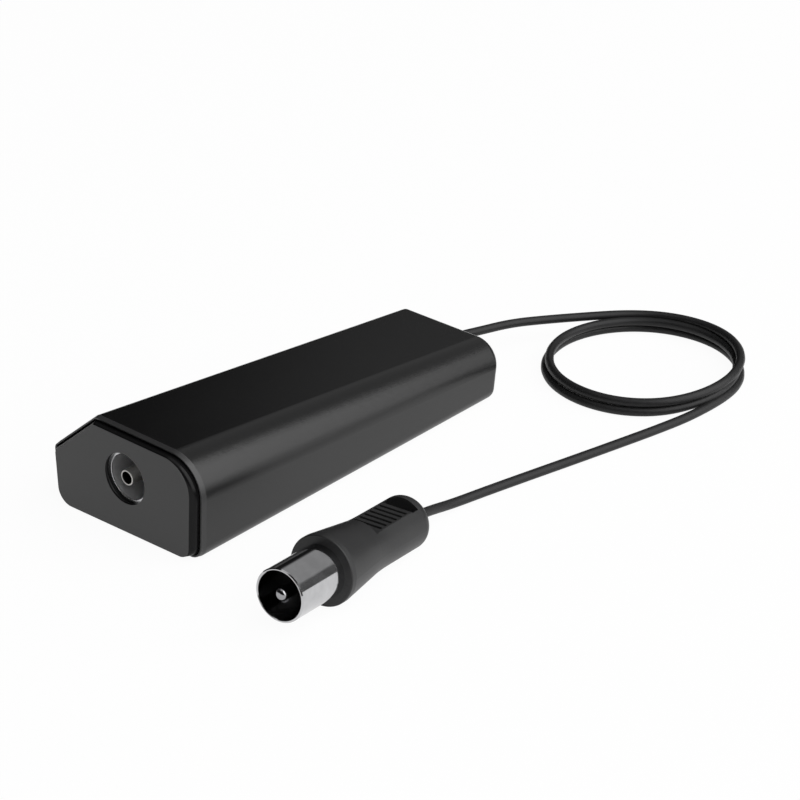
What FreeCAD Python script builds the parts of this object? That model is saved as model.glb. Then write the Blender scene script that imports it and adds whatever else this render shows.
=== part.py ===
import FreeCAD
import Part
import math
import os
from FreeCAD import Vector

# In-line television aerial box: a tapered moulded sleeve closed by an end cap with a
# coaxial socket, a small filter board inside, and a thin captive cord that lies in a
# loose coil and ends in a moulded coaxial plug. Millimetres, +Z up, the socket faces -Y.

# Housing, outside
BODY_LENGTH = 83.0
BODY_WIDTH = 37.0
FRONT_HEIGHT = 20.15
REAR_HEIGHT = 13.1
TOP_FALL = 0.7
RIGHT_FOOT_INSET = 0.9
RIGHT_SHOULDER_OUTSET = 0.4
LEFT_FOOT_INSET = 0.25
FRONT_CHAMFER_FOOT = 10.9
REAR_CHAMFER_FOOT = 4.0
FRONT_CHAMFER_TOP_X = 7.4
REAR_CHAMFER_TOP_X = 4.5
FOOT_RADIUS = 2.8
FRONT_LEFT_FOOT_RADIUS = 3.6
REAR_LEFT_FOOT_RADIUS = 2.2
FRONT_SHOULDER_RADIUS = 7.3
REAR_SHOULDER_RADIUS = 5.0
CHAMFER_RADIUS = 1.6
REAR_EDGE_RADIUS = 1.4
LEAST_CORNER = 0.4

# Housing, inside
WALL = 1.6
REAR_WALL = 2.0
LIP_WALL = 0.5
LIP_DEPTH = 1.5
LIP_BEVEL_INSET = 0.2
LIP_BEVEL_DEPTH = 1.0
RAIL_WIDTH = 1.4
RAIL_HEIGHT = 1.9
RAIL_OFFSET = 13.2
LATCH_Z = 5.85
RIGHT_LATCH_WIDTH = 7.0
LEFT_LATCH_WIDTH = 4.6
LATCH_HEIGHT = 1.6
LATCH_PROUD = 0.45
LATCH_BACK = 5.0

# End cap
CAP_SET_OUT = 1.6
CAP_COLLAR_WALL = 1.2
CAP_COLLAR_DEPTH = 5.6
CAP_CLEARANCE = 0.12
CAP_FACE_INSETS = (0.5, 1.7, 0.8, 1.5, 2.0)
CAP_SHOULDER_RADIUS = 5.8
CAP_CORNER_RADIUS = 0.9

# Socket for a 9.5 mm coaxial plug
SOCKET_X = 1.15
SOCKET_BELOW_TOP = 9.0
SOCKET_BORE = 9.6
SOCKET_SHELL_WALL = 0.8
SOCKET_SET_BACK = 1.0
SOCKET_DEPTH = 9.0
SOCKET_SHELL_TAIL = 3.0
SOCKET_FLANGE_OVER = 0.6
SOCKET_FLANGE_THICKNESS = 0.9
CAP_HOLE_CLEARANCE = 0.1
SEAT_CLEARANCE = 0.1
CONTACT_OUTER = 3.2
CONTACT_BORE = 2.4
CONTACT_SET_BACK = 0.3
CONTACT_BORE_DEPTH = 8.0
CONTACT_TAIL = 1.3
CONTACT_TAIL_LENGTH = 3.0
CONTACT_SLIT = 0.3
CONTACT_SLIT_FROM = 1.5

# Board and screening
BOARD_WIDTH = 29.0
BOARD_THICKNESS = 1.0
BOARD_CORNER = 1.0
BRACKET_THICKNESS = 0.6
BRACKET_WIDTH = 16.0
BRACKET_CLEARANCE = 0.1
BRACKET_FOOT = 3.0
FENCE_WIDTH = 19.6
FENCE_HEIGHT = 4.6
FENCE_WALL = 0.4
FENCE_GAP = 4.2
FENCE_TAIL_GAP = 5.5
FENCE_BAYS = 4
LID_SKIRT = 1.6
LID_CLEARANCE = 0.05
DRUM_RADIUS = 1.7
DRUM_HEIGHT = 3.0
DRUM_WAIST = 1.1
DRUM_FLANGE = 0.5
CHIP_SIZE = (1.6, 0.8, 0.8)
CHIP_CAP = 0.3
CHIP_CAP_PROUD = 0.05
CHIP_SPREAD = 2.0
WIRE_DIAMETER = 0.6

# Captive cord
CORD_DIAMETER = 1.8
CORD_X = 0.8
CORD_Z = 5.6
BUSH_CLEARANCE = 0.1
BUSH_NECK = 3.8
BUSH_FLANGE = 5.6
BUSH_FLANGE_THICKNESS = 1.0
BUSH_NOSE_LENGTH = 2.5
BUSH_NOSE_TIP = 2.9
OUTLET_RUN = 6.0
TAIL_DROP_LENGTH = 5.0
TAIL_REST_LENGTH = 4.0
TAIL_STRAIGHT = 6.0
FERRULE_WALL = 0.5
FERRULE_LENGTH = 3.2
FERRULE_GAP = 1.0
SADDLE_WIDTH = 2.4
SADDLE_WALL = 0.5
SADDLE_FOOT = 1.8

# Coil of the cord: turns are measured clockwise from the +X side, seen from above
COIL_X = 32.5
COIL_Y = 110.9
COIL_RADIUS = 19.3
COIL_INNER_STEP = 0.8
COIL_LAYER = 2.35
COIL_START = 130.0
COIL_QUARTERS = 9
COIL_CLIMB_FROM = 0.0
COIL_CLIMB_TO = -90.0
FLOOR_GAP = 0.03
BEND_SHARE = 0.45  # of the shorter of two runs, that their rounded corner takes

# Free stretches of the cord, points chosen along the floor and down from the outlet
LEAD_IN = ((3.4, 98.6, 5.61), (7.2, 109.6, 5.63))
LEAD_IN_TANGENT = 9.0
LEAD_OUT_TANGENT = 9.0
PLUG_TANGENT = 4.6
LEAD_OUT = ((50.4, 88.2), (47.6, 76.2), (44.2, 64.4), (41.1, 53.0))
LEAD_OUT_RISE = (39.0, 43.0, 1.25)

# Moulded plug, along its own axis from the open rim of the metal sleeve
PLUG_RIM_X = 43.65
PLUG_RIM_Y = -6.9
PLUG_TURN = 6.3
PLUG_TILT = -5.5
PLUG_OUTER = 9.525
PLUG_SLEEVE_WALL = 0.45
PLUG_REACH = 11.6
PLUG_SLEEVE_ROOT = 5.0
PLUG_ROOT_OUTER = 9.0
PLUG_RIM_ROUND = 0.2
PLUG_PIN = 2.3
PLUG_PIN_ROOT = 3.0
PLUG_PIN_SET_BACK = 0.0
PLUG_PIN_TAIL = 3.0
PLUG_PIN_ROUND = 0.9
PLUG_INSULATOR_FRONT = 9.4
PLUG_INSULATOR_LENGTH = 4.0
GRIP_FLANGE = 6.35
GRIP_FLANGE_ROUND = 0.25
GRIP_SHOULDER_AT = 12.8
GRIP_TAPER = 5.2
GRIP_TAPER_AT = 22.0
GRIP_WAIST = 4.95
GRIP_WAIST_AT = 27.0
GRIP_REAR_AT = 36.1
GRIP_LENGTH = 38.3
GRIP_TAIL = 3.1
PAD_HEIGHT = 3.8
PAD_FROM = 22.6
PAD_TO = 35.4
RIDGE_COUNT = 6
RIDGE_PITCH = 1.5
RIDGE_GROOVE = 0.65
RIDGE_DEPTH = 0.5
RIDGE_FROM = 24.6
RIDGE_SIDE_LAND = 0.35
NOTCH_LENGTH = 1.7
NOTCH_DEPTH = 1.1
NOTCH_WIDTH = 6.6
PLUG_CORE_OUTER = 7.0
PLUG_CORE_LENGTH = 9.0
PLUG_FERRULE_OUTER = 3.4
PLUG_FERRULE_LENGTH = 5.0

os.makedirs("parts", exist_ok=True)

AXIS_Y = Vector(0, 1, 0)
HALF_WIDTH = BODY_WIDTH / 2
SOCKET_Z = FRONT_HEIGHT - SOCKET_BELOW_TOP
CORD_RADIUS = CORD_DIAMETER / 2
PAST = 1.0  # how far a cut runs past the surfaces that it opens
pieces = {}


# Outlines of the housing

def tangent_corner(before, corner, after, radius):
    """Start, middle and end of the arc that rounds one corner of an outline."""
    back = (before - corner).normalize()
    ahead = (after - corner).normalize()
    half = back.getAngle(ahead) / 2
    reach = radius / math.tan(half)
    centre = corner + (back + ahead).normalize() * (radius / math.sin(half))
    middle = centre + (corner - centre).normalize() * radius
    return corner + back * reach, middle, corner + ahead * reach


def rounded_wire(corners, radii):
    """Closed wire through corners, each rounded by its own radius."""
    count = len(corners)
    arcs = []
    for i in range(count):
        arcs.append(tangent_corner(corners[i - 1], corners[i], corners[(i + 1) % count], radii[i]))
    edges = []
    for i in range(count):
        start, middle, end = arcs[i]
        edges.append(Part.Arc(start, middle, end).toShape())
        edges.append(Part.LineSegment(end, arcs[(i + 1) % count][0]).toShape())
    return Part.Wire(edges)


def inset_corners(corners, insets):
    """Corners of an outline in the XZ plane, each side moved inwards by its own distance."""
    count = len(corners)
    moved = []
    for i in range(count):
        start = corners[i]
        along = (corners[(i + 1) % count] - start).normalize()
        inward = Vector(-along.z, 0, along.x)
        moved.append((start + inward * insets[i], along))
    result = []
    for i in range(count):
        p, u = moved[i - 1]
        q, v = moved[i]
        cross = u.x * v.z - u.z * v.x
        gap = q - p
        result.append(p + u * ((gap.x * v.z - gap.z * v.x) / cross))
    return result


def body_corners(y, inset=0.0, insets=None):
    """Corners of the housing at a distance y from the front: foot, shoulder, chamfer."""
    share = y / BODY_LENGTH
    height = FRONT_HEIGHT + (REAR_HEIGHT - FRONT_HEIGHT) * share
    chamfer_foot = FRONT_CHAMFER_FOOT + (REAR_CHAMFER_FOOT - FRONT_CHAMFER_FOOT) * share
    chamfer_top = FRONT_CHAMFER_TOP_X + (REAR_CHAMFER_TOP_X - FRONT_CHAMFER_TOP_X) * share
    corners = [Vector(-HALF_WIDTH + LEFT_FOOT_INSET, y, 0),
               Vector(HALF_WIDTH - RIGHT_FOOT_INSET, y, 0),
               Vector(HALF_WIDTH + RIGHT_SHOULDER_OUTSET, y, height - TOP_FALL),
               Vector(-chamfer_top, y, height),
               Vector(-HALF_WIDTH, y, chamfer_foot)]
    return inset_corners(corners, insets or (inset,) * 5)


def body_radii(y, less=0.0):
    share = y / BODY_LENGTH
    shoulder = FRONT_SHOULDER_RADIUS + (REAR_SHOULDER_RADIUS - FRONT_SHOULDER_RADIUS) * share
    left_foot = FRONT_LEFT_FOOT_RADIUS + (REAR_LEFT_FOOT_RADIUS - FRONT_LEFT_FOOT_RADIUS) * share
    radii = (left_foot, FOOT_RADIUS, shoulder, CHAMFER_RADIUS, CHAMFER_RADIUS)
    return [max(radius - less, LEAST_CORNER) for radius in radii]


def body_loft(inset, y_from, y_to):
    """Tapered solid of the housing's outline, drawn in by inset, its foot a true plane."""
    wires = [rounded_wire(body_corners(y, inset), body_radii(y, inset)) for y in (y_from, y_to)]
    faces = []
    for face in Part.makeLoft(wires, True, True).Faces:
        plane = face.findPlane()
        if plane and face.Surface.TypeId != plane.TypeId:
            face = Part.Face(plane, [face.OuterWire])
        faces.append(face)
    return Part.Solid(Part.Shell(faces))


def set_at(wire, y):
    """The outline moved along the housing to y."""
    moved = wire.copy()
    moved.translate(Vector(0, y - moved.Vertexes[0].Point.y, 0))
    return moved


def ahead_of(y):
    """Block that fills everything in front of y."""
    reach = 3 * BODY_WIDTH
    return block(-reach, reach, y - reach, y, -reach, reach)


def tube_y(x, z, y_from, y_to, outer, inner=0.0):
    """Round bar or tube along Y, given by its diameters."""
    length = y_to - y_from
    bar = Part.makeCylinder(outer / 2, length, Vector(x, y_from, z), AXIS_Y)
    if inner:
        bar = bar.cut(Part.makeCylinder(inner / 2, length, Vector(x, y_from, z), AXIS_Y))
    return bar


def turned(profile, x=0.0, z=0.0):
    """Solid of revolution about a line along Y: profile holds (radius, y) corners."""
    points = [Vector(x + radius, y, z) for radius, y in profile]
    face = Part.Face(Part.makePolygon(points + points[:1]))
    return face.revolve(Vector(x, 0, z), AXIS_Y, 360)


def tight_box(shape):
    return shape.optimalBoundingBox(True, False)


def block(x_from, x_to, y_from, y_to, z_from, z_to):
    return Part.makeBox(x_to - x_from, y_to - y_from, z_to - z_from, Vector(x_from, y_from, z_from))


# Blind sleeve: one moulding with a draft towards the rear, open at the front

CAVITY_END = BODY_LENGTH - REAR_WALL
BOARD_Z = WALL + RAIL_HEIGHT
BOARD_TOP = BOARD_Z + BOARD_THICKNESS
BOARD_START = SOCKET_DEPTH + SOCKET_SHELL_TAIL


def latch_block(side, grow):
    """Snap bead of the cap on one side, or its pocket in the sleeve when grown."""
    x_wall = side * (HALF_WIDTH - WALL - CAP_CLEARANCE)
    half = RIGHT_LATCH_WIDTH / 2 if side > 0 else LEFT_LATCH_WIDTH / 2
    x_in = x_wall - side * CAP_COLLAR_WALL
    x_out = x_wall + side * (LATCH_PROUD + grow)
    return block(min(x_in, x_out), max(x_in, x_out), LATCH_BACK - grow,
                 LATCH_BACK + LATCH_HEIGHT + grow, LATCH_Z - half - grow, LATCH_Z + half + grow)


def rail(side):
    """Rib along the floor that carries one side of the board, rooted in the floor's wall."""
    x = side * RAIL_OFFSET
    return block(x - RAIL_WIDTH / 2, x + RAIL_WIDTH / 2, BOARD_START, CAVITY_END,
                 WALL / 2, BOARD_Z)


def lip_waste():
    """What is cut off round the sleeve's mouth, so that its lip draws in a little."""
    middle = CAP_SET_OUT + LIP_BEVEL_DEPTH
    inset = 2 * LIP_BEVEL_INSET
    front = rounded_wire(body_corners(middle, inset), body_radii(middle, inset))
    inset = -LIP_BEVEL_INSET
    back = rounded_wire(body_corners(middle, inset), body_radii(middle, inset))
    kept = Part.makeLoft([set_at(front, CAP_SET_OUT - LIP_BEVEL_DEPTH),
                          set_at(back, middle + LIP_BEVEL_DEPTH)], True, True)
    return ahead_of(middle + LIP_BEVEL_DEPTH).cut(kept)


def make_sleeve():
    outer = body_loft(0.0, 0.0, BODY_LENGTH)
    rear = max(outer.Faces, key=lambda face: face.CenterOfMass.y)
    outer = outer.makeFillet(REAR_EDGE_RADIUS, rear.OuterWire.Edges)
    outer = outer.cut(ahead_of(CAP_SET_OUT)).cut(lip_waste())
    cavity = body_loft(WALL, 0.0, CAVITY_END)
    rebate = body_loft(LIP_WALL, 0.0, CAVITY_END).common(ahead_of(CAP_SET_OUT + LIP_DEPTH))
    sleeve = outer.cut(cavity).cut(rebate)
    for side in (-1, 1):
        sleeve = sleeve.fuse(rail(side)).cut(latch_block(side, CAP_CLEARANCE))
    outlet = tube_y(CORD_X, CORD_Z, CAVITY_END - PAST, BODY_LENGTH + PAST, BUSH_NECK)
    return sleeve.cut(outlet).removeSplitter()


# End cap: bevelled face plate that fills the mouth, with a collar and two snap beads

SHELL_OUTER = SOCKET_BORE + 2 * SOCKET_SHELL_WALL
SHELL_FRONT = SOCKET_SET_BACK
SHELL_FLOOR = SOCKET_DEPTH
SHELL_END = BOARD_START
FLANGE_OUTER = SHELL_OUTER + 2 * SOCKET_FLANGE_OVER
CAP_SEAT = CAP_SET_OUT + LIP_DEPTH - CAP_CLEARANCE
FLANGE_FRONT = CAP_SEAT
FLANGE_END = FLANGE_FRONT + SOCKET_FLANGE_THICKNESS


def make_cap():
    lip = LIP_WALL + CAP_CLEARANCE
    skin = WALL + CAP_CLEARANCE
    face_radii = (FRONT_LEFT_FOOT_RADIUS - CAP_FACE_INSETS[0], FOOT_RADIUS - CAP_FACE_INSETS[0],
                  CAP_SHOULDER_RADIUS, CAP_CORNER_RADIUS, CAP_CORNER_RADIUS)
    face = rounded_wire(body_corners(0, insets=CAP_FACE_INSETS), face_radii)
    rim = rounded_wire(body_corners(CAP_SEAT, lip), body_radii(CAP_SEAT, lip))
    bevel = Part.makeLoft([face, set_at(rim, CAP_SET_OUT)], True, True)
    flange = Part.makeLoft([set_at(rim, CAP_SET_OUT), rim], True, True)
    collar = body_loft(skin, 0.0, CAVITY_END).cut(body_loft(skin + CAP_COLLAR_WALL, 0.0, CAVITY_END))
    behind = ahead_of(CAP_SEAT + CAP_COLLAR_DEPTH).cut(ahead_of(CAP_SEAT))
    cap = bevel.fuse(flange).fuse(collar.common(behind))
    for side in (-1, 1):
        cap = cap.fuse(latch_block(side, 0.0))
    return cap.fuse(socket_boss()).cut(socket_seat()).removeSplitter()


def socket_boss():
    """Round boss behind the cap's plate that carries the socket's shell."""
    boss = tube_y(SOCKET_X, SOCKET_Z, SHELL_FRONT, FLANGE_FRONT, FLANGE_OUTER)
    return boss.cut(ahead_of(CAP_SET_OUT))


def socket_seat():
    """What the socket takes out of the cap: its window, and seats for shell and flange."""
    window = tube_y(SOCKET_X, SOCKET_Z, -PAST, FLANGE_END, SOCKET_BORE + CAP_HOLE_CLEARANCE)
    shell = tube_y(SOCKET_X, SOCKET_Z, SHELL_FRONT, FLANGE_END, SHELL_OUTER + 2 * SEAT_CLEARANCE)
    flange = tube_y(SOCKET_X, SOCKET_Z, FLANGE_FRONT, SHELL_END, FLANGE_OUTER + 2 * SEAT_CLEARANCE)
    return window.fuse(shell).fuse(flange)


# Socket: metal shell, insulator and spring contact on one axis

def make_socket_shell():
    outer = SHELL_OUTER / 2
    flange = FLANGE_OUTER / 2
    bore = SOCKET_BORE / 2
    lead = SOCKET_SHELL_WALL / 2
    profile = [(bore + lead / 2, SHELL_FRONT), (outer, SHELL_FRONT), (outer, FLANGE_FRONT),
               (flange, FLANGE_FRONT), (flange, FLANGE_END), (outer, FLANGE_END),
               (outer, SHELL_END), (bore, SHELL_END), (bore, SHELL_FRONT + lead)]
    return turned(profile, SOCKET_X, SOCKET_Z)


def make_socket_insulator():
    return tube_y(SOCKET_X, SOCKET_Z, SHELL_FLOOR, SHELL_END, SOCKET_BORE, CONTACT_OUTER)


def make_socket_contact():
    outer = CONTACT_OUTER / 2
    front = CONTACT_SET_BACK
    bore = CONTACT_BORE / 2
    lead = (outer - bore) / 2
    blind = front + CONTACT_BORE_DEPTH
    tail_end = SHELL_END + CONTACT_TAIL_LENGTH
    tail = CONTACT_TAIL / 2
    profile = [(bore + lead, front), (outer, front + lead), (outer, SHELL_END),
               (tail, SHELL_END), (tail, tail_end), (0, tail_end), (0, blind),
               (bore, blind), (bore, front + lead)]
    contact = turned(profile, SOCKET_X, SOCKET_Z)
    for wide, tall in ((CONTACT_SLIT / 2, CONTACT_OUTER), (CONTACT_OUTER, CONTACT_SLIT / 2)):
        contact = contact.cut(block(SOCKET_X - wide, SOCKET_X + wide, front + CONTACT_SLIT_FROM,
                                    blind - CONTACT_SLIT, SOCKET_Z - tall, SOCKET_Z + tall))
    return contact


def make_bracket():
    """Earthing plate pressed over the shell's tail, hooked over the board's front edge."""
    y = SHELL_END - BRACKET_THICKNESS
    half = BRACKET_WIDTH / 2
    plate = block(SOCKET_X - half, SOCKET_X + half, y, SHELL_END, BOARD_Z, FRONT_HEIGHT)
    plate = plate.common(body_loft(WALL + BRACKET_CLEARANCE, 0.0, CAVITY_END))
    plate = plate.cut(tube_y(SOCKET_X, SOCKET_Z, y - PAST, SHELL_END + PAST, SHELL_OUTER))
    foot = block(SOCKET_X - half, SOCKET_X + half, SHELL_END, SHELL_END + BRACKET_FOOT,
                 BOARD_TOP, BOARD_TOP + BRACKET_THICKNESS)
    return plate.fuse(foot).removeSplitter()


pieces["housing_sleeve"] = make_sleeve()
pieces["end_cap"] = make_cap()
pieces["socket_shell"] = make_socket_shell()
pieces["socket_insulator"] = make_socket_insulator()
pieces["socket_contact"] = make_socket_contact()
pieces["socket_bracket"] = make_bracket()


# Filter board with its screening can, between the bracket's foot and the cord's tail

BUSH_FRONT = CAVITY_END - BUSH_FLANGE_THICKNESS
TAIL_LOW_Y = BUSH_FRONT - TAIL_STRAIGHT
TAIL_REST_Y = TAIL_LOW_Y - TAIL_DROP_LENGTH
TAIL_END_Y = TAIL_REST_Y - TAIL_REST_LENGTH
BOARD_END = TAIL_REST_Y
FENCE_FROM = SHELL_END + BRACKET_FOOT + FENCE_GAP
FENCE_TO = TAIL_END_Y - FENCE_TAIL_GAP
BAY = (FENCE_TO - FENCE_FROM) / FENCE_BAYS
FENCE_TOP = BOARD_TOP + FENCE_HEIGHT


def make_board():
    board = block(-BOARD_WIDTH / 2, BOARD_WIDTH / 2, BOARD_START, BOARD_END, BOARD_Z, BOARD_TOP)
    corners = [edge for edge in board.Edges
               if abs(edge.Vertexes[0].Point.z - edge.Vertexes[1].Point.z) > BOARD_THICKNESS / 2]
    return board.makeFillet(BOARD_CORNER, corners)


def make_fence():
    """Folded tinplate wall with a cross wall between each two bays."""
    half = FENCE_WIDTH / 2
    fence = block(-half, half, FENCE_FROM, FENCE_TO, BOARD_TOP, FENCE_TOP)
    for bay in range(FENCE_BAYS):
        y = FENCE_FROM + bay * BAY
        room = block(-half + FENCE_WALL, half - FENCE_WALL, y + FENCE_WALL, y + BAY - FENCE_WALL,
                     BOARD_TOP, FENCE_TOP)
        fence = fence.cut(room)
    return fence


def make_lid():
    """Shallow tray that snaps over the fence."""
    half = FENCE_WIDTH / 2 + LID_CLEARANCE
    outer = half + FENCE_WALL
    front = FENCE_FROM - LID_CLEARANCE
    back = FENCE_TO + LID_CLEARANCE
    lid = block(-outer, outer, front - FENCE_WALL, back + FENCE_WALL,
                FENCE_TOP - LID_SKIRT, FENCE_TOP + FENCE_WALL)
    return lid.cut(block(-half, half, front, back, FENCE_TOP - LID_SKIRT, FENCE_TOP))


def make_drum(x, y):
    """Drum inductor: a ferrite bobbin standing on the board, its winding in the waist."""
    profile = [(0, 0), (DRUM_RADIUS, 0), (DRUM_RADIUS, DRUM_FLANGE), (DRUM_WAIST, DRUM_FLANGE),
               (DRUM_WAIST, DRUM_HEIGHT - DRUM_FLANGE), (DRUM_RADIUS, DRUM_HEIGHT - DRUM_FLANGE),
               (DRUM_RADIUS, DRUM_HEIGHT), (0, DRUM_HEIGHT)]
    points = [Vector(x + radius, y, BOARD_TOP + height) for radius, height in profile]
    face = Part.Face(Part.makePolygon(points + points[:1]))
    return face.revolve(Vector(x, y, 0), Vector(0, 0, 1), 360)


def make_winding(x, y):
    ring = Part.makeCylinder((DRUM_RADIUS + DRUM_WAIST) / 2, DRUM_HEIGHT - 2 * DRUM_FLANGE,
                             Vector(x, y, BOARD_TOP + DRUM_FLANGE))
    core = Part.makeCylinder(DRUM_WAIST, DRUM_HEIGHT, Vector(x, y, BOARD_TOP))
    return ring.cut(core)


def make_chip(x, y):
    """Ceramic chip capacitor, its two end caps a little thicker than its middle."""
    length, width, height = CHIP_SIZE
    chip = block(x - length / 2, x + length / 2, y - width / 2, y + width / 2,
                 BOARD_TOP, BOARD_TOP + height)
    waist = block(x - length / 2 + CHIP_CAP, x + length / 2 - CHIP_CAP,
                  y - width, y + width, BOARD_TOP + height - CHIP_CAP_PROUD, BOARD_TOP + height)
    return chip.cut(waist)


def make_wire(points, diameter):
    """Round wire along straight runs between points, mitred at each bend."""
    path = Part.makePolygon([Vector(*point) for point in points])
    start = Vector(*points[0])
    ring = Part.Wire(Part.makeCircle(diameter / 2, start, Vector(*points[1]) - start))
    return path.makePipeShell([ring], True, False, 1)


drums = []
windings = []
chips = []
for bay in range(FENCE_BAYS):
    bay_y = FENCE_FROM + (bay + 0.5) * BAY
    for side in (-1, 1):
        drum_x = side * FENCE_WIDTH / 4
        drums.append(make_drum(drum_x, bay_y))
        windings.append(make_winding(drum_x, bay_y))
        chips.append(make_chip(0, bay_y + side * CHIP_SPREAD))

contact_end = SHELL_END + CONTACT_TAIL_LENGTH
wire_y = SHELL_END + BRACKET_FOOT + FENCE_GAP / 2
pieces["circuit_board"] = make_board()
pieces["shield_fence"] = make_fence()
pieces["shield_lid"] = make_lid()
pieces["drum_inductors"] = Part.makeCompound(drums)
pieces["inductor_windings"] = Part.makeCompound(windings)
pieces["chip_capacitors"] = Part.makeCompound(chips)
pieces["contact_wire"] = make_wire([(SOCKET_X, contact_end, SOCKET_Z),
                                    (SOCKET_X, wire_y, SOCKET_Z),
                                    (SOCKET_X, wire_y, BOARD_TOP)], WIRE_DIAMETER)


# Paths for the cord: straight runs joined by tangent arcs, and biarcs for the coil

def run_path(points, label):
    """Straight runs through points, each corner rounded as far as its two runs allow."""
    nodes = [Vector(*point) for point in points]
    edges = []
    radii = []
    start = nodes[0]
    for before, corner, after in zip(nodes, nodes[1:], nodes[2:]):
        turn = (corner - before).getAngle(after - corner)
        shorter = min((corner - before).Length, (after - corner).Length)
        radius = BEND_SHARE * shorter / math.tan(turn / 2)
        arc_start, middle, arc_end = tangent_corner(before, corner, after, radius)
        edges.append(Part.LineSegment(start, arc_start).toShape())
        edges.append(Part.Arc(arc_start, middle, arc_end).toShape())
        radii.append(radius)
        start = arc_end
    edges.append(Part.LineSegment(start, nodes[-1]).toShape())
    runs = [(b - a).Length for a, b in zip(nodes, nodes[1:])]
    print(label, "runs", [round(run, 1) for run in runs], "radii", [round(r, 1) for r in radii])
    return Part.Wire(edges)


def make_tube(path, diameter, label):
    """Round tube along a path, its volume compared with section times length."""
    first = path.OrderedEdges[0]
    start = first.valueAt(first.FirstParameter)
    heading = first.tangentAt(first.FirstParameter)
    ring = Part.Wire(Part.makeCircle(diameter / 2, start, heading))
    tube = path.makePipeShell([ring], True, False)
    ideal = math.pi * diameter ** 2 / 4 * path.Length
    print(label, "length", round(path.Length, 2), "volume share", round(tube.Volume / ideal, 4))
    return tube


def smooth_step(value):
    value = min(max(value, 0.0), 1.0)
    return value * value * (3 - 2 * value)


def layer_at(angle):
    """How many layers the cord has come down at an angle, each during one short climb."""
    span = COIL_CLIMB_FROM - COIL_CLIMB_TO
    return (smooth_step((COIL_CLIMB_FROM - angle) / span)
            + smooth_step((COIL_CLIMB_FROM - 360 - angle) / span))


def coil_point(angle):
    """Middle of the cord on the coil: outer turns above and below, one drawn in between."""
    layer = layer_at(angle)
    drawn_in = 1 - abs(layer - 1)
    radius = COIL_RADIUS - COIL_INNER_STEP * drawn_in
    height = CORD_RADIUS + FLOOR_GAP + COIL_LAYER * (2 - layer)
    turn = math.radians(angle)
    return Vector(COIL_X + radius * math.cos(turn), COIL_Y + radius * math.sin(turn), height)


def coil_heading(angle):
    step = 0.01
    return (coil_point(angle - step) - coil_point(angle + step)).normalize()


def arc_from(start, heading, end):
    """Circular arc that leaves start along heading and ends at end."""
    chord = end - start
    along = chord * (1 / chord.Length)
    side = heading - along * heading.dot(along)
    bulge = chord.Length / 2 * math.tan(heading.getAngle(chord) / 2)
    return Part.Arc(start, start + chord * 0.5 + side.normalize() * bulge, end).toShape()


def biarc(start, heading, end, arrival):
    """Two arcs that join smoothly between two points with given headings."""
    span = end - start
    total = heading + arrival
    bend = 2 * (1 - heading.dot(arrival))
    reach = (math.sqrt(span.dot(total) ** 2 + bend * span.dot(span)) - span.dot(total)) / bend
    join = (start + end + (heading - arrival) * reach) * 0.5
    back = arc_from(end, arrival * -1, join)
    return [arc_from(start, heading, join), back]


coil_angles = [COIL_START] + [90 - 90 * quarter for quarter in range(COIL_QUARTERS + 1)]


def coil_path():
    """Coil of biarcs between two straight ends one cord diameter long."""
    first = coil_point(coil_angles[0])
    first_heading = coil_heading(coil_angles[0])
    edges = [Part.LineSegment(first - first_heading * CORD_DIAMETER, first).toShape()]
    for here, there in zip(coil_angles, coil_angles[1:]):
        edges += biarc(coil_point(here), coil_heading(here), coil_point(there), coil_heading(there))
    last = coil_point(coil_angles[-1])
    last_heading = coil_heading(coil_angles[-1])
    edges.append(Part.LineSegment(last, last + last_heading * CORD_DIAMETER).toShape())
    return Part.Wire(edges)


def least_gap(path, diameter):
    """Smallest clear distance between turns, measured on points along the path."""
    per_diameter = 4
    same_turn = 8
    points = path.discretize(Distance=diameter / per_diameter)
    skip = same_turn * per_diameter
    least = None
    for i, point in enumerate(points):
        for other in points[i + skip:]:
            gap = point.distanceToPoint(other) - diameter
            least = gap if least is None else min(least, gap)
    return least


# Cord outlet: rubber bush in the rear wall, the tail inside, its ferrule and saddle

NOSE_END = BODY_LENGTH + BUSH_NOSE_LENGTH
TAIL_Z = BOARD_TOP + CORD_RADIUS


def make_bush():
    """Rubber bush: flange inside, neck through the wall, short tapered nose outside."""
    bore = CORD_RADIUS + BUSH_CLEARANCE
    neck = BUSH_NECK / 2
    profile = [(bore, BUSH_FRONT), (BUSH_FLANGE / 2, BUSH_FRONT), (BUSH_FLANGE / 2, CAVITY_END),
               (neck, CAVITY_END), (neck, BODY_LENGTH), (BUSH_NOSE_TIP / 2, NOSE_END),
               (bore, NOSE_END)]
    return turned(profile, CORD_X, CORD_Z)


def make_saddle():
    """Formed strap over the tail, its two feet on the board."""
    y_from = TAIL_REST_Y - (TAIL_REST_LENGTH + SADDLE_WIDTH) / 2
    y_to = y_from + SADDLE_WIDTH
    inner = CORD_RADIUS + BUSH_CLEARANCE
    outer = inner + SADDLE_WALL
    foot = outer + SADDLE_FOOT
    arch = tube_y(CORD_X, TAIL_Z, y_from, y_to, 2 * outer)
    legs = block(CORD_X - outer, CORD_X + outer, y_from, y_to, BOARD_TOP, TAIL_Z)
    feet = block(CORD_X - foot, CORD_X + foot, y_from, y_to, BOARD_TOP, BOARD_TOP + SADDLE_WALL)
    room = tube_y(CORD_X, TAIL_Z, y_from - PAST, y_to + PAST, 2 * inner)
    throat = block(CORD_X - inner, CORD_X + inner, y_from - PAST, y_to + PAST, BOARD_Z, TAIL_Z)
    below = block(CORD_X - foot, CORD_X + foot, y_from - PAST, y_to + PAST, 0, BOARD_TOP)
    return arch.fuse(legs).fuse(feet).cut(room).cut(throat).cut(below)


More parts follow.
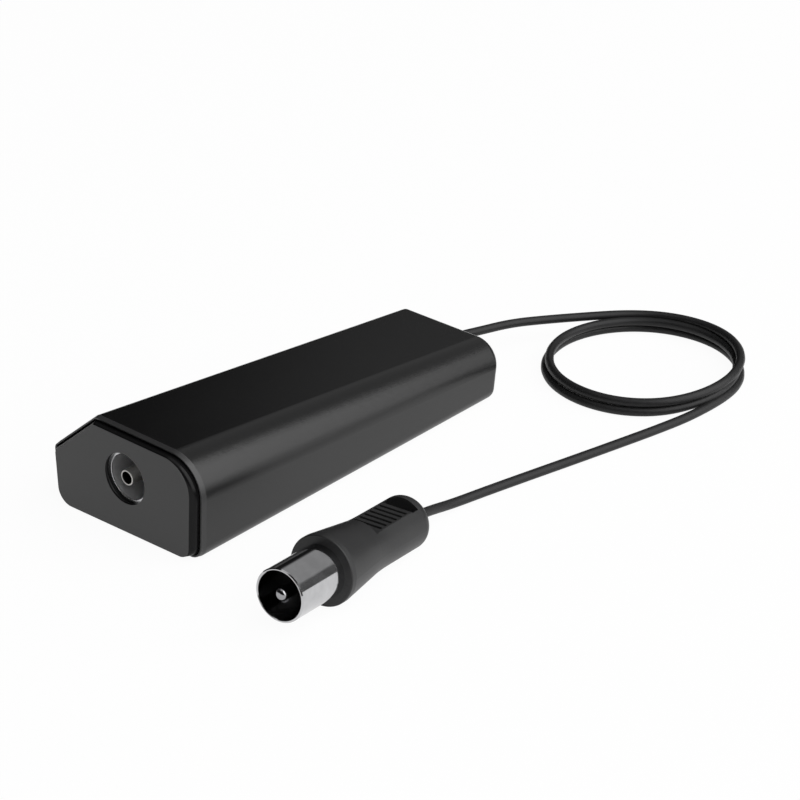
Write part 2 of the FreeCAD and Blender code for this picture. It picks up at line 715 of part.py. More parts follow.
tail_points = [(CORD_X, BODY_LENGTH, CORD_Z), (CORD_X, TAIL_LOW_Y, CORD_Z),
               (CORD_X, TAIL_REST_Y, TAIL_Z), (CORD_X, TAIL_END_Y, TAIL_Z)]
coil = coil_path()
coil_first = coil_point(coil_angles[0]) - coil_heading(coil_angles[0]) * CORD_DIAMETER
coil_last = coil_point(coil_angles[-1]) + coil_heading(coil_angles[-1]) * CORD_DIAMETER
lead_in_points = [(CORD_X, BODY_LENGTH, CORD_Z), (CORD_X, BODY_LENGTH + OUTLET_RUN, CORD_Z)]
lead_in_points += LEAD_IN
lead_in_points.append(tuple(coil_first - coil_heading(coil_angles[0]) * LEAD_IN_TANGENT))
lead_in_points.append(tuple(coil_first))


# Moulded plug: built along +Y from its rim, then turned, tilted and laid down

SLEEVE_END = PLUG_REACH + PLUG_SLEEVE_ROOT
SHOULDER_AT = PLUG_REACH - PLUG_SLEEVE_WALL
ROOT_BORE = PLUG_ROOT_OUTER - 2 * PLUG_SLEEVE_WALL
INSULATOR_END = PLUG_INSULATOR_FRONT + PLUG_INSULATOR_LENGTH
CORE_TO = SLEEVE_END + PLUG_CORE_LENGTH
FERRULE_TO = CORE_TO + PLUG_FERRULE_LENGTH
LEAD_BORE = CORD_DIAMETER + 2 * BUSH_CLEARANCE


def make_plug_sleeve():
    """Drawn metal sleeve, necked down where the grip is moulded over it."""
    outer = PLUG_OUTER / 2
    inner = outer - PLUG_SLEEVE_WALL
    edge = PLUG_RIM_ROUND
    return turned([(inner, edge / 2), (inner + edge / 2, 0), (outer - edge, 0), (outer, edge),
                   (outer, PLUG_REACH), (PLUG_ROOT_OUTER / 2, PLUG_REACH),
                   (PLUG_ROOT_OUTER / 2, SLEEVE_END), (ROOT_BORE / 2, SLEEVE_END),
                   (ROOT_BORE / 2, SHOULDER_AT), (inner, SHOULDER_AT)])


def make_plug_insulator():
    outer = PLUG_OUTER / 2 - PLUG_SLEEVE_WALL
    return turned([(PLUG_PIN_ROOT / 2, PLUG_INSULATOR_FRONT), (outer, PLUG_INSULATOR_FRONT),
                   (outer, SHOULDER_AT), (ROOT_BORE / 2, SHOULDER_AT),
                   (ROOT_BORE / 2, INSULATOR_END), (PLUG_PIN_ROOT / 2, INSULATOR_END)])


def make_plug_pin():
    """Round-nosed pin with a thicker root that is pressed into the insulator."""
    pin = tube_y(0, 0, PLUG_PIN_SET_BACK, PLUG_INSULATOR_FRONT, PLUG_PIN)
    front = min(pin.Faces, key=lambda face: face.CenterOfMass.y)
    pin = pin.makeFillet(PLUG_PIN_ROUND, front.Edges)
    return pin.fuse(tube_y(0, 0, PLUG_INSULATOR_FRONT, INSULATOR_END + PLUG_PIN_TAIL, PLUG_PIN_ROOT))


def make_plug_core():
    """Rigid carrier behind the metal sleeve that holds ferrule and cord."""
    return tube_y(0, 0, SLEEVE_END, CORE_TO, PLUG_CORE_OUTER, LEAD_BORE)


def make_plug_ferrule():
    return tube_y(0, 0, CORE_TO, FERRULE_TO, PLUG_FERRULE_OUTER, LEAD_BORE)


def grip_outline():
    """Half outline of the grip: flange, tapered waist and domed tail."""
    edge = GRIP_FLANGE_ROUND
    waist_start = Vector(GRIP_FLANGE, GRIP_SHOULDER_AT, 0)
    taper_end = Vector(GRIP_TAPER, GRIP_TAPER_AT, 0)
    waist_end = Vector(GRIP_WAIST, GRIP_WAIST_AT, 0)
    sweep = Part.BSplineCurve()
    sweep.interpolate([taper_end, waist_end], FinalTangent=AXIS_Y,
                      InitialTangent=(taper_end - waist_start).normalize())
    rear = Vector(GRIP_WAIST, GRIP_REAR_AT, 0)
    bore = LEAD_BORE / 2
    face_in = PLUG_ROOT_OUTER / 2
    round_mid = edge * (1 - math.sqrt(0.5))
    points = [Vector(face_in, PLUG_REACH, 0), Vector(GRIP_FLANGE - edge, PLUG_REACH, 0)]
    edges = [Part.LineSegment(points[0], points[1]).toShape(),
             Part.Arc(points[1], Vector(GRIP_FLANGE - round_mid, PLUG_REACH + round_mid, 0),
                      Vector(GRIP_FLANGE, PLUG_REACH + edge, 0)).toShape(),
             Part.LineSegment(Vector(GRIP_FLANGE, PLUG_REACH + edge, 0), waist_start).toShape(),
             Part.LineSegment(waist_start, taper_end).toShape(),
             sweep.toShape(),
             Part.LineSegment(waist_end, rear).toShape(),
             arc_from(rear, AXIS_Y, Vector(GRIP_TAIL, GRIP_LENGTH, 0))]
    inside = [(GRIP_TAIL, GRIP_LENGTH), (bore, GRIP_LENGTH), (bore, FERRULE_TO),
              (PLUG_FERRULE_OUTER / 2, FERRULE_TO), (PLUG_FERRULE_OUTER / 2, CORE_TO),
              (PLUG_CORE_OUTER / 2, CORE_TO), (PLUG_CORE_OUTER / 2, SLEEVE_END),
              (face_in, SLEEVE_END), (face_in, PLUG_REACH)]
    for here, there in zip(inside, inside[1:]):
        edges.append(Part.LineSegment(Vector(*here, 0), Vector(*there, 0)).toShape())
    return Part.Wire(edges)


def make_grip():
    """Soft overmoulded grip with a flat, ridged finger pad on top and below."""
    grip = Part.Face(grip_outline()).revolve(Vector(0, 0, 0), AXIS_Y, 360)
    reach = 2 * GRIP_FLANGE
    for side in (-1, 1):
        low, high = sorted((side * PAD_HEIGHT, side * reach))
        pad_end = PAD_TO if side > 0 else GRIP_LENGTH + PAST
        grip = grip.cut(block(-reach, reach, PAD_FROM, pad_end, low, high))
        half = math.sqrt(GRIP_WAIST ** 2 - PAD_HEIGHT ** 2) - RIDGE_SIDE_LAND
        low, high = sorted((side * (PAD_HEIGHT - RIDGE_DEPTH), side * reach))
        for ridge in range(RIDGE_COUNT):
            y = RIDGE_FROM + ridge * RIDGE_PITCH
            grip = grip.cut(block(-half, half, y, y + RIDGE_GROOVE, low, high))
    y = PAD_TO - NOTCH_LENGTH
    return grip.cut(block(-NOTCH_WIDTH / 2, NOTCH_WIDTH / 2, y, PAD_TO,
                          PAD_HEIGHT - NOTCH_DEPTH, reach))


plug = {"plug_sleeve": make_plug_sleeve(), "plug_insulator": make_plug_insulator(),
        "plug_pin": make_plug_pin(), "plug_core": make_plug_core(),
        "plug_ferrule": make_plug_ferrule(), "plug_grip": make_grip(),
        "plug_lead": tube_y(0, 0, SLEEVE_END, GRIP_LENGTH, CORD_DIAMETER)}
lay = FreeCAD.Placement(Vector(PLUG_RIM_X, PLUG_RIM_Y, 0),
                        FreeCAD.Rotation(Vector(0, 0, 1), PLUG_TURN)
                        * FreeCAD.Rotation(Vector(1, 0, 0), PLUG_TILT))
for name in plug:
    plug[name].Placement = lay
lift = FLOOR_GAP - min(tight_box(shape).ZMin for shape in plug.values())
for name in plug:
    plug[name].translate(Vector(0, 0, lift))
plug_end = lay.multVec(Vector(0, GRIP_LENGTH, 0)) + Vector(0, 0, lift)
plug_axis = lay.Rotation.multVec(AXIS_Y)

# Lead out of the coil, along the floor and up into the plug
floor_z = CORD_RADIUS + FLOOR_GAP
lead_out_points = [tuple(coil_last),
                   tuple(coil_last + coil_heading(coil_angles[-1]) * LEAD_OUT_TANGENT)]
lead_out_points += [(x, y, floor_z) for x, y in LEAD_OUT]
lead_out_points += [LEAD_OUT_RISE, tuple(plug_end + plug_axis * PLUG_TANGENT), tuple(plug_end)]

pieces["cord_bush"] = make_bush()
pieces["coax_tail"] = make_tube(run_path(tail_points, "tail"), CORD_DIAMETER, "tail")
pieces["crimp_ferrule"] = tube_y(CORD_X, CORD_Z, BUSH_FRONT - FERRULE_GAP - FERRULE_LENGTH,
                                 BUSH_FRONT - FERRULE_GAP, LEAD_BORE + 2 * FERRULE_WALL, LEAD_BORE)
pieces["cord_saddle"] = make_saddle()
pieces["cord_lead_in"] = make_tube(run_path(lead_in_points, "lead in"), CORD_DIAMETER, "lead in")
pieces["cord_coil"] = make_tube(coil, CORD_DIAMETER, "coil")
pieces["cord_lead_out"] = make_tube(run_path(lead_out_points, "lead out"), CORD_DIAMETER,
                                    "lead out")
pieces.update(plug)
print("coil least gap", round(least_gap(coil, CORD_DIAMETER), 3))

# The origin is the middle of the housing's foot
cord_names = ("cord_bush", "cord_lead_in", "cord_coil", "cord_lead_out")
solid_box = FreeCAD.BoundBox()
for name, shape in pieces.items():
    if name not in cord_names and name not in plug:
        solid_box.add(tight_box(shape))
shift = Vector(-solid_box.Center.x, -solid_box.Center.y, -solid_box.ZMin)
print("shift", [round(value, 3) for value in shift])
for name, shape in pieces.items():
    shape.translate(shift)
    shape.exportStep("parts/" + name + ".step")
    box = tight_box(shape)
    print(name, "solids", len(shape.Solids), "valid", shape.isValid(),
          "volume", round(shape.Volume, 1),
          "box", [round(v, 2) for v in (box.XMin, box.YMin, box.ZMin, box.XMax, box.YMax, box.ZMax)])
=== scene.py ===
# In-line television aerial box with its captive cord and coaxial plug, dressed on the packed
# model. Metres, +Z up, the socket faces -Y and the rounded shoulder +X.
import bmesh
import bpy
import math
from mathutils import Euler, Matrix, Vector


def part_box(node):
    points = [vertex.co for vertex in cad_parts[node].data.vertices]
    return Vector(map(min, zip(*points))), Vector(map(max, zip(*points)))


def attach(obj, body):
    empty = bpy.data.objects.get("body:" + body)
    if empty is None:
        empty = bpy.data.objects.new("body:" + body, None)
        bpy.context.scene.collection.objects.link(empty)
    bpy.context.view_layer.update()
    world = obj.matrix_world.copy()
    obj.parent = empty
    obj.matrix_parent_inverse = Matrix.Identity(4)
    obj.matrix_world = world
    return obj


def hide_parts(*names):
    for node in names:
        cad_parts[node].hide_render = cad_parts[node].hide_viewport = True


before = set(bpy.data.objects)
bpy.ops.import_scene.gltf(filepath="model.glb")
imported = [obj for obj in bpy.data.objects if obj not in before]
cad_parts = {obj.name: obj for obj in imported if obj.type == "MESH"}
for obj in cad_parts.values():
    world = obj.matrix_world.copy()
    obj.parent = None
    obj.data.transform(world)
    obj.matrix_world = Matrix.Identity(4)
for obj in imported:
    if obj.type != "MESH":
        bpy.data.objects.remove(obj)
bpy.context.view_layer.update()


# Housing sleeve. A tapered blind sleeve of black plastic, moulded in one piece with its rear
# wall. The tool's fine spark finish gives it a satin grain, smoothest on top. Its lip is
# painted paler, a painted highlight that stands in for light on the rim.
class Tap:
    """A socket in a material's nodes, on which sums are written as Python."""

    def __init__(self, tree, socket):
        self.tree = tree
        self.socket = socket

    def node(self, kind, settings, sockets, outlet=0):
        made = self.tree.nodes.new(kind)
        stops = settings.pop("stops", None)
        for name, value in settings.items():
            setattr(made, name, value)
        if stops:
            ramp = made.color_ramp
            while len(ramp.elements) < len(stops):
                ramp.elements.new(0.5)
            for element, (place, tone) in zip(ramp.elements, stops):
                element.position = place
                element.color = (tone, tone, tone, 1)
        for name, value in sockets.items():
            if isinstance(value, Tap):
                self.tree.links.new(value.socket, made.inputs[name])
            else:
                made.inputs[name].default_value = value
        return Tap(self.tree, made.outputs[outlet])

    def sum(self, operation, first, second):
        return self.node("ShaderNodeMath", {"operation": operation}, {0: first, 1: second})

    def __add__(self, other):
        return self.sum("ADD", self, other)

    __radd__ = __add__

    def __sub__(self, other):
        return self.sum("SUBTRACT", self, other)

    def __rsub__(self, other):
        return self.sum("SUBTRACT", other, self)

    def __mul__(self, other):
        return self.sum("MULTIPLY", self, other)

    __rmul__ = __mul__

    def ramp(self, low, high):
        """0 below low and 1 above high, with a soft step between."""
        return self.node("ShaderNodeMapRange", {"interpolation_type": "SMOOTHSTEP"},
                         {"Value": self, "From Min": low, "From Max": high})

    def tone(self, dark, pale):
        """A colour between two, by this value."""
        return self.node("ShaderNodeMix", {"data_type": "RGBA"},
                         {"Factor": self, 6: (*dark, 1), 7: (*pale, 1)}, outlet=2)

    def noise(self, size, detail=2.0, rough=0.5):
        """Cloudy noise whose lumps are about size metres across."""
        return self.node("ShaderNodeTexNoise", {},
                         {"Vector": self, "Scale": 1 / size, "Detail": detail, "Roughness": rough})

    def part(self, axis):
        return self.node("ShaderNodeSeparateXYZ", {}, {0: self}, outlet="XYZ".index(axis))


def new_finish(name, **constants):
    """A material with its shader, and the place on the piece as a Tap."""
    material = bpy.data.materials.new(name)
    material.use_nodes = True
    tree = material.node_tree
    shader = tree.nodes["Principled BSDF"]
    for socket, value in constants.items():
        shader.inputs[socket.replace("_", " ")].default_value = value
    start = Tap(tree, None)
    place = start.node("ShaderNodeTexCoord", {}, {}, outlet="Object")
    return material, shader, place


def feed(shader, **taps):
    for socket, tap in taps.items():
        tap.tree.links.new(tap.socket, shader.inputs[socket.replace("_", " ")])


def bumped(height, depth):
    """A normal from a height of 0 to 1 that stands for depth metres."""
    return height.node("ShaderNodeBump", {},
                       {"Strength": 1.0, "Distance": depth, "Height": height})


def dress(node, material):
    """Puts a finish on a CAD node that keeps its shape."""
    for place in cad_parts[node].material_slots:
        place.material = material


def moulded(name, dark, pale, rough_low, rough_high, grain, depth, specular=0.5):
    """A moulded or pressed material with cloudy colour and a fine even grain."""
    material, shader, place = new_finish(name, Specular_IOR_Level=specular)
    clouds = place.noise(0.012, 3.0)
    fine = place.noise(grain, 1.0)
    feed(shader,
         Base_Color=clouds.ramp(0.3, 0.7).tone(dark, pale),
         Roughness=clouds * (rough_high - rough_low) + rough_low,
         Normal=bumped(fine, depth))
    return material


LIP_END = 0.0026
LIP_BLUR = 0.0001
TOP_HEIGHT = 0.0202
TOP_FALL = 0.085
FLANK_FROM = 0.0003
FLANK_TO = 0.0035

housing_plastic, housing_shader, housing_place = new_finish("housing_plastic")
housing_cloud = housing_place.noise(0.012, 3.0)
behind_cap = housing_place.part("Y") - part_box("end_cap")[0].y
# The lip's paler colour is painted light: a painted highlight on the sleeve's rim.
lip_painted_light = 1 - behind_cap.ramp(LIP_END - LIP_BLUR, LIP_END + LIP_BLUR)
below_top = behind_cap * -TOP_FALL + TOP_HEIGHT - housing_place.part("Z")
on_flank = below_top.ramp(FLANK_FROM, FLANK_TO)
feed(housing_shader,
     Base_Color=(housing_cloud * 0.04 + lip_painted_light * 0.9).tone((0.0026, 0.0026, 0.0027),
                                                           (0.030, 0.030, 0.0305)),
     Roughness=housing_cloud * 0.05 + on_flank * 0.12 + lip_painted_light * 0.1 + 0.18,
     Normal=bumped(housing_place.noise(0.00035, 1.0), 0.000004))
dress("housing_sleeve", housing_plastic)

# End cap. A plate with a collar that snaps into the sleeve's mouth, of the same black plastic.
# Its flat face has a finer grain, and the bevel round it is polished.
FACE_EDGE = 0.00004
BEVEL_DEPTH = 0.0016
BEVEL_CROWN = 0.00045
GRAIN_SHARE = 0.022

cap_plastic, cap_shader, cap_place = new_finish("cap_plastic", Specular_IOR_Level=0.14,
                                                Coat_IOR=1.5, Coat_Roughness=0.40)
behind_face = cap_place.part("Y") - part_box("end_cap")[0].y
bevel = behind_face.ramp(FACE_EDGE, 2 * FACE_EDGE)
across = behind_face * (1 / BEVEL_DEPTH)
crown = across * (1 - across) * bevel
face_grain = cap_place.noise(0.0003, 1.0) * (1 - bevel)
cap_cloud = cap_place.noise(0.010, 3.0)
feed(cap_shader,
     Base_Color=(cap_cloud * 0.3 + bevel * 0.7).tone((0.007, 0.007, 0.0073),
                                                     (0.006, 0.006, 0.0062)),
     Roughness=bevel * -0.20 + 0.42,
     Coat_Weight=0.78 * (1 - bevel),
     Normal=bumped(face_grain * GRAIN_SHARE + crown * 4, BEVEL_CROWN))
dress("end_cap", cap_plastic)


# Socket. A turned and nickel-plated shell is seated behind the cap's round window. A black
# insulator at its bottom holds the tubular centre contact.
def plated(name, dark, pale, rough_low, rough_high, depth):
    """Bright plate with faint turning marks and handling haze."""
    material, shader, place = new_finish(name, Metallic=1.0)
    haze = place.noise(0.004, 4.0, 0.6)
    scratches = place.noise(0.00025, 2.0)
    feed(shader,
         Base_Color=haze.ramp(0.3, 0.75).tone(dark, pale),
         Roughness=haze * (rough_high - rough_low) + rough_low,
         Normal=bumped(scratches, depth))
    return material


TURNED_STEPS = 96
SHARP_TURN = math.radians(35)


def turned(name, outline, centre):
    """A closed piece of revolution about a line along Y, from radius and depth pairs."""
    shape = bmesh.new()
    corners = [shape.verts.new((centre.x + radius, depth, centre.z)) for radius, depth in outline]
    edges = [shape.edges.new(pair) for pair in zip(corners, corners[1:] + corners[:1])]
    bmesh.ops.spin(shape, geom=corners + edges, cent=centre, axis=(0, 1, 0), angle=math.tau,
                   steps=TURNED_STEPS, use_merge=True)
    bmesh.ops.remove_doubles(shape, verts=shape.verts, dist=1e-7)
    bmesh.ops.recalc_face_normals(shape, faces=shape.faces)
    for face in shape.faces:
        face.smooth = True
    mesh = bpy.data.meshes.new(name)
    shape.to_mesh(mesh)
    shape.free()
    mesh.set_sharp_from_angle(angle=SHARP_TURN)
    piece = bpy.data.objects.new(name, mesh)
    bpy.context.scene.collection.objects.link(piece)
    return piece


SHELL_BORE = 0.0048
SHELL_OUTER = 0.0056
FLANGE_OUTER = 0.0062
FLANGE_SET_BACK = 0.00298
FLANGE_THICK = 0.0009
LIP_BORE = 0.00432
LIP_THICK = 0.00040
LIP_ROUND = 0.00010
LIP_SLOPE = 0.0004
LATHE_MARKS = 9000.0

shell_low, shell_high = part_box("socket_shell")
shell_axis = (shell_low + shell_high) / 2
shell_front = shell_low.y
flange_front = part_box("end_cap")[0].y + FLANGE_SET_BACK
flange_back = flange_front + FLANGE_THICK
shell_outline = [(LIP_BORE + LIP_ROUND * (1 - math.cos(math.radians(turn))),
                  shell_front + LIP_ROUND * (1 - math.sin(math.radians(turn))))
                 for turn in range(0, 91, 15)]
shell_outline += [(SHELL_OUTER, shell_front), (SHELL_OUTER, flange_front),
                  (FLANGE_OUTER, flange_front), (FLANGE_OUTER, flange_back),
                  (SHELL_OUTER, flange_back), (SHELL_OUTER, shell_high.y),
                  (SHELL_BORE, shell_high.y), (SHELL_BORE, shell_front + LIP_THICK + LIP_SLOPE),
                  (LIP_BORE, shell_front + LIP_THICK)]
shell = turned("shell_rolled", shell_outline, shell_axis)
nickel = plated("nickel", (0.50, 0.50, 0.51), (0.58, 0.58, 0.59), 0.06, 0.14, 0.000001)
shell_nickel, shell_shader, shell_place = new_finish("shell_nickel", Metallic=1.0)
# Inside the bore the plate is painted paler than at the lip: painted light on the bore wall.
bore_painted_light = (shell_place.part("Y") - shell_front).ramp(LIP_ROUND, LIP_THICK)
turning = shell_place.part("Y").node("ShaderNodeTexNoise", {"noise_dimensions": "1D"},
                                     {"W": shell_place.part("Y"), "Scale": LATHE_MARKS,
                                      "Detail": 2.0})
feed(shell_shader,
     Base_Color=bore_painted_light.tone((0.52, 0.52, 0.53), (0.82, 0.82, 0.83)),
     Roughness=bore_painted_light * 0.36 + turning * 0.12 + 0.18,
     Normal=bumped(turning, 0.000002))
shell.data.materials.append(shell_nickel)
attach(shell, "root")
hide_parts("socket_shell")

CONTACT_OUTER = 0.00144
CONTACT_MOUTH = 0.00119
CONTACT_MOUTH_DEPTH = 0.0002
CONTACT_BORE = 0.00115
CONTACT_BORE_DEPTH = 0.008
CONTACT_ROUND = 0.00007
CONTACT_TAIL = 0.00065
CONTACT_TAIL_LENGTH = 0.003
CONTACT_SET_BACK = 0.00025
ON_AXIS = 0.00001

contact_low, contact_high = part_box("socket_contact")
contact_axis = (contact_low + contact_high) / 2
contact_front = contact_low.y + CONTACT_SET_BACK
bore_end = contact_front + CONTACT_BORE_DEPTH
tail_from = contact_high.y - CONTACT_TAIL_LENGTH
contact_outline = [(CONTACT_MOUTH, contact_front), (CONTACT_OUTER - CONTACT_ROUND, contact_front),
                   (CONTACT_OUTER - CONTACT_ROUND * 0.3, contact_front + CONTACT_ROUND * 0.3),
                   (CONTACT_OUTER, contact_front + CONTACT_ROUND), (CONTACT_OUTER, tail_from),
                   (CONTACT_TAIL, tail_from), (CONTACT_TAIL, contact_high.y),
                   (ON_AXIS, contact_high.y), (ON_AXIS, bore_end), (CONTACT_BORE, bore_end),
                   (CONTACT_BORE, contact_front + CONTACT_MOUTH_DEPTH)]
contact = turned("contact_turned", contact_outline, contact_axis)
contact_metal, contact_shader, contact_place = new_finish("contact_metal", Metallic=1.0)
aside = contact_place.part("X") - contact_axis.x
above = contact_place.part("Z") - contact_axis.z
# Inside the tube the metal is painted near black: painted shade in the contact's bore.
tube_painted_shade = 1 - (aside * aside + above * above).ramp(CONTACT_BORE ** 2, CONTACT_MOUTH ** 2)
contact_haze = contact_place.noise(0.0008, 3.0)
feed(contact_shader,
     Base_Color=(contact_haze * 0.12 + tube_painted_shade * 0.88).tone((0.50, 0.49, 0.47),
                                                            (0.02, 0.02, 0.02)),
     Roughness=contact_haze * 0.1 + 0.28)
contact.data.materials.append(contact_metal)
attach(contact, "root")
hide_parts("socket_contact")

socket_dielectric = moulded("socket_dielectric", (0.020, 0.020, 0.021), (0.028, 0.028, 0.029),
                            0.40, 0.55, 0.0003, 0.000008)
dress("socket_insulator", socket_dielectric)

# Board and screening. A glass-epoxy board carries a soldered tinplate can with drum inductors
# and chip capacitors in its bays. An earthing plate ties the socket's shell to it.
board_laminate = moulded("board_laminate", (0.035, 0.15, 0.06), (0.05, 0.20, 0.085),
                         0.30, 0.45, 0.0006, 0.000010)
dress("circuit_board", board_laminate)
tinplate = plated("tinplate", (0.52, 0.52, 0.50), (0.66, 0.66, 0.64), 0.25, 0.45, 0.000002)
for node in ("socket_bracket", "shield_fence", "shield_lid", "cord_saddle"):
    dress(node, tinplate)
ferrite = moulded("ferrite", (0.05, 0.047, 0.045), (0.10, 0.095, 0.09),
                  0.55, 0.75, 0.0002, 0.000012)
dress("drum_inductors", ferrite)
copper_wire = plated("copper_wire", (0.55, 0.22, 0.09), (0.75, 0.38, 0.18), 0.25, 0.40, 0.000010)
dress("inductor_windings", copper_wire)
dress("contact_wire", copper_wire)
ceramic = moulded("ceramic", (0.45, 0.34, 0.22), (0.58, 0.46, 0.32), 0.35, 0.55, 0.0002, 0.000006)
dress("chip_capacitors", ceramic)
ferrule_brass = plated("ferrule_brass", (0.58, 0.44, 0.20), (0.74, 0.60, 0.32),
                       0.22, 0.38, 0.000002)
dress("crimp_ferrule", ferrule_brass)
dress("plug_ferrule", ferrule_brass)

# Cord outlet. A black rubber bush is snapped into the rear wall and keeps the cord from
# bending sharply there. The cord's tail runs through it to a crimp ferrule on the board.
bush_rubber = moulded("bush_rubber", (0.010, 0.010, 0.010), (0.016, 0.016, 0.016),
                      0.50, 0.65, 0.0004, 0.000020)
dress("cord_bush", bush_rubber)

# Captive cord. A thin coaxial cord with a smooth black jacket, one length from the rear wall
# to the plug. It is wound in a little under two and a half loose turns, one on the other.
MODEL_SHIFT = Vector((0.0000368, -0.0415000, 0.0))
CORD_DIAMETER = 0.0018
OUTLET = (0.0008, 0.0830, 0.0056)
LEAD_IN = ((0.0008, 0.0866, 0.0056), (0.0012, 0.0915, 0.0055), (0.0027, 0.0968, 0.0052),
           (0.0050, 0.1040, 0.0050), (0.0083, 0.1113, 0.0042), (0.0127, 0.1183, 0.0037))
COIL_CENTRE = (0.0327, 0.1109)
COIL_START = 135.0
COIL_END = -720.0
TURN_POINTS = 16
COIL_LAYERS = ((80.0, 0.0200, 0.0035), (-20.0, 0.0191, 0.0044), (-100.0, 0.0189, 0.00270),
               (-380.0, 0.0185, 0.00270), (-505.0, 0.0193, 0.00095), (-720.0, 0.0192, 0.00095))
CLIMB = 45.0
LEAD_OUT = ((0.0517, 0.1000, 0.00093), (0.0499, 0.0910, 0.00093), (0.0478, 0.0822, 0.00093),
            (0.0452, 0.0716, 0.00093), (0.0426, 0.0614, 0.00093), (0.0401, 0.0513, 0.00093),
            (0.0389, 0.0430, 0.00140), (0.0391, 0.0362, 0.0030))
PLUG_END = (0.0394665, 0.0309934, 0.0039067)


def coil_place(angle):
    """The coil's radius and height at an angle, with a slope between its layers."""
    radius, height = COIL_LAYERS[0][1:]
    for (upper_to, _, _), (_, lower_radius, lower_height) in zip(COIL_LAYERS, COIL_LAYERS[1:]):
        down = (upper_to + CLIMB - angle) / (2 * CLIMB)
        down = min(1.0, max(0.0, down))
        down = down * down * (3 - 2 * down)
        radius += (lower_radius - radius) * down
        height += (lower_height - height) * down
    return radius, height


half_step = math.radians(180 / TURN_POINTS)
step_turn = 360 / TURN_POINTS
coil_steps = round((COIL_START - COIL_END) / step_turn)
coil_points = []
for step in range(coil_steps + 1):
    angle = COIL_START - step * step_turn
    radius, height = coil_place(angle)
    reach = radius / math.cos(half_step)
    coil_points.append((COIL_CENTRE[0] + reach * math.cos(math.radians(angle)),
                        COIL_CENTRE[1] + reach * math.sin(math.radians(angle)), height))
route = [OUTLET, *LEAD_IN, *coil_points, *LEAD_OUT, PLUG_END]
cord_curve = bpy.data.curves.new("cord", "CURVE")
cord_curve.dimensions = "3D"
cord_line = cord_curve.splines.new("NURBS")
cord_line.points.add(len(route) - 1)
for point, place in zip(cord_line.points, route):
    point.co = (*(Vector(place) + MODEL_SHIFT), 1.0)
cord_line.order_u = 3
cord_line.use_endpoint_u = True
cord_line.resolution_u = 8
cord_curve.bevel_depth = CORD_DIAMETER / 2
cord_curve.bevel_resolution = 5
cord_curve.use_fill_caps = True
cord = bpy.data.objects.new("cord", cord_curve)
bpy.context.scene.collection.objects.link(cord)
cord_jacket = moulded("cord_jacket", (0.012, 0.012, 0.0124), (0.017, 0.017, 0.0174),
                      0.38, 0.46, 0.0012, 0.000010, specular=0.24)
cord_curve.materials.append(cord_jacket)
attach(cord, "root")
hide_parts("cord_lead_in", "cord_coil", "cord_lead_out")
dress("coax_tail", cord_jacket)
dress("plug_lead", cord_jacket)

# Coaxial plug. A bright plated sleeve with a pin in a black insulator, carried on a moulded
# core, under a soft overmoulded grip with two ridged flats.
dress("plug_sleeve", nickel)
pin_metal = plated("pin_metal", (0.30, 0.30, 0.31), (0.38, 0.38, 0.39), 0.12, 0.22, 0.000001)
dress("plug_pin", pin_metal)
plug_dielectric = moulded("plug_dielectric", (0.010, 0.010, 0.010), (0.016, 0.016, 0.016),
                          0.40, 0.55, 0.0003, 0.000008)
dress("plug_insulator", plug_dielectric)
# The core is coloured near black, not its natural plastic: painted shade where it shows through
# the grip's slot.
carrier_plastic = moulded("carrier_plastic", (0.014, 0.014, 0.0144), (0.019, 0.019, 0.0194),
                          0.45, 0.60, 0.0004, 0.000010)
dress("plug_core", carrier_plastic)
grip_soft = moulded("grip_soft", (0.017, 0.017, 0.0174), (0.022, 0.022, 0.0224),
                    0.36, 0.44, 0.0003, 0.000010, specular=0.34)
dress("plug_grip", grip_soft)

# Floor. A large white sheet, as a product is photographed on.
FLOOR_REACH = 12.0
SEEN_GLOW = 0.95
MIRRORED_GLOW = 0.66
MATT_WHITE = (0.9, 0.9, 0.9, 1)

floor_shape = bmesh.new()
bmesh.ops.create_grid(floor_shape, x_segments=1, y_segments=1, size=FLOOR_REACH)
floor_mesh = bpy.data.meshes.new("floor")
floor_shape.to_mesh(floor_mesh)
floor_shape.free()
floor = bpy.data.objects.new("floor", floor_mesh)
bpy.context.scene.collection.objects.link(floor)
floor_white = bpy.data.materials.new("floor_white")
floor_white.use_nodes = True
floor_tree = floor_white.node_tree
floor_tree.nodes.clear()
start = Tap(floor_tree, None)
camera_ray = start.node("ShaderNodeLightPath", {}, {}, outlet="Is Camera Ray")
glossy_ray = start.node("ShaderNodeLightPath", {}, {}, outlet="Is Glossy Ray")
clear_ray = start.node("ShaderNodeLightPath", {}, {}, outlet="Is Transmission Ray")
matt = start.node("ShaderNodeBsdfDiffuse", {}, {"Color": MATT_WHITE})
glow = start.node("ShaderNodeEmission", {}, {"Color": (1, 1, 1, 1), "Strength": 1.0})
glowing = camera_ray * SEEN_GLOW + glossy_ray * MIRRORED_GLOW + clear_ray * MIRRORED_GLOW
white = start.node("ShaderNodeMixShader", {}, {0: glowing, 1: matt, 2: glow})
floor_out = floor_tree.nodes.new("ShaderNodeOutputMaterial")
floor_tree.links.new(white.socket, floor_out.inputs["Surface"])
floor_mesh.materials.append(floor_white)

# Studio. A room that is white for the camera, dark round the walls and grey above, so that
# polished pieces mirror it in bands, with a large soft box overhead and one at the right.
WALL_TOP = (0.32, 0.42)
WALL_END = (0.0, 0.13)
END_TURN = math.radians(43.0)
ROOM_DARK = (0.012, 0.012, 0.012)
ROOM_PALE = (0.36, 0.36, 0.36)
WALL_SHARE = 0.2

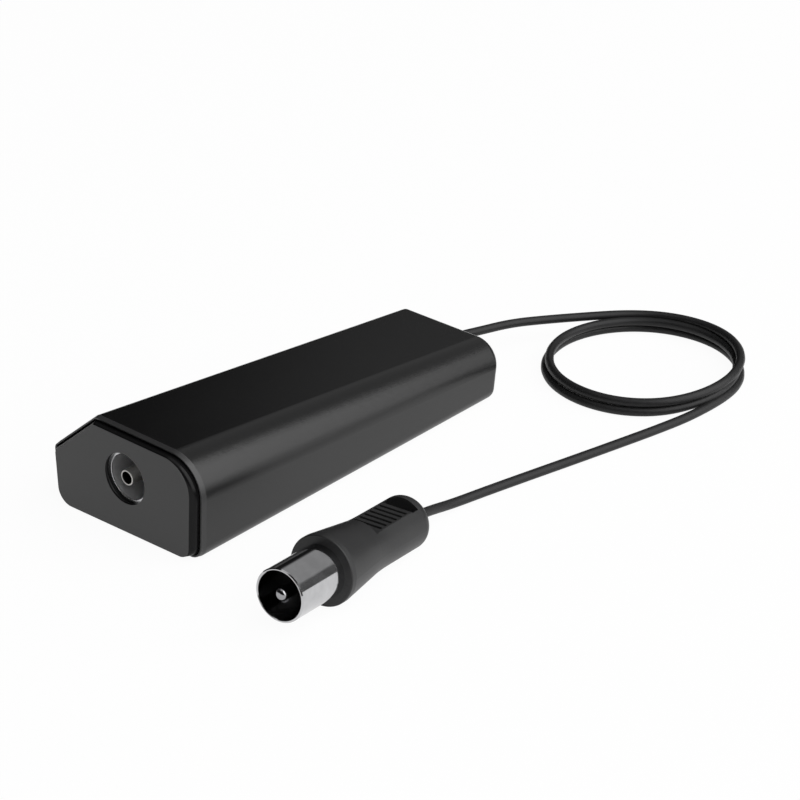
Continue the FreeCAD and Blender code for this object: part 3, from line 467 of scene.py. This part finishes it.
world = bpy.data.worlds.new("studio")
bpy.context.scene.world = world
world.use_nodes = True
room_tree = world.node_tree
room_tree.nodes.clear()
start = Tap(room_tree, None)
look = start.node("ShaderNodeTexCoord", {}, {}, outlet="Generated")
above_wall = look.part("Z").ramp(*WALL_TOP)
along_wall = look.part("X") * math.cos(END_TURN) + look.part("Y") * math.sin(END_TURN)
past_end = along_wall.ramp(*WALL_END)
room = ((above_wall * (1 - WALL_SHARE) + WALL_SHARE) * past_end).tone(ROOM_DARK, ROOM_PALE)
room_seen = start.node("ShaderNodeLightPath", {}, {}, outlet="Is Camera Ray")
room_tone = room.node("ShaderNodeMix", {"data_type": "RGBA"},
                      {"Factor": room_seen, 6: room, 7: (1, 1, 1, 1)}, outlet=2)
room_glow = start.node("ShaderNodeBackground", {}, {"Color": room_tone, "Strength": 1.0})
room_out = room_tree.nodes.new("ShaderNodeOutputWorld")
room_tree.links.new(room_glow.socket, room_out.inputs["Surface"])


def soft_box(name, place, wide, tall, power):
    """A rectangular lamp at a place, aimed at the origin."""
    lamp = bpy.data.lights.new(name, "AREA")
    lamp.shape = "RECTANGLE"
    lamp.size = wide
    lamp.size_y = tall
    lamp.energy = power
    holder = bpy.data.objects.new(name, lamp)
    holder.location = place
    holder.rotation_euler = (Vector() - Vector(place)).to_track_quat("-Z", "Y").to_euler()
    bpy.context.scene.collection.objects.link(holder)


soft_box("overhead_box", (0.0, -0.2, 2.0), 2.0, 2.0, 9.0)
soft_box("right_box", (0.950, 0.202, 0.705), 2.0, 1.8, 26.0)

# Camera. It stands where the photograph's does, in front and to the right.
CAMERA_PLACE = (0.271883, -0.288802, 0.209727)
ELEVATION = 26.757
AZIMUTH = 40.141

camera_data = bpy.data.cameras.new("camera")
camera_data.lens = 108.0
camera_data.sensor_width = 36.0
camera = bpy.data.objects.new("camera", camera_data)
camera.location = CAMERA_PLACE
camera.rotation_euler = Euler((math.radians(90 - ELEVATION), 0.0, math.radians(AZIMUTH)))
bpy.context.scene.collection.objects.link(camera)
bpy.context.scene.camera = camera
bpy.context.scene.view_settings.view_transform = "Standard"
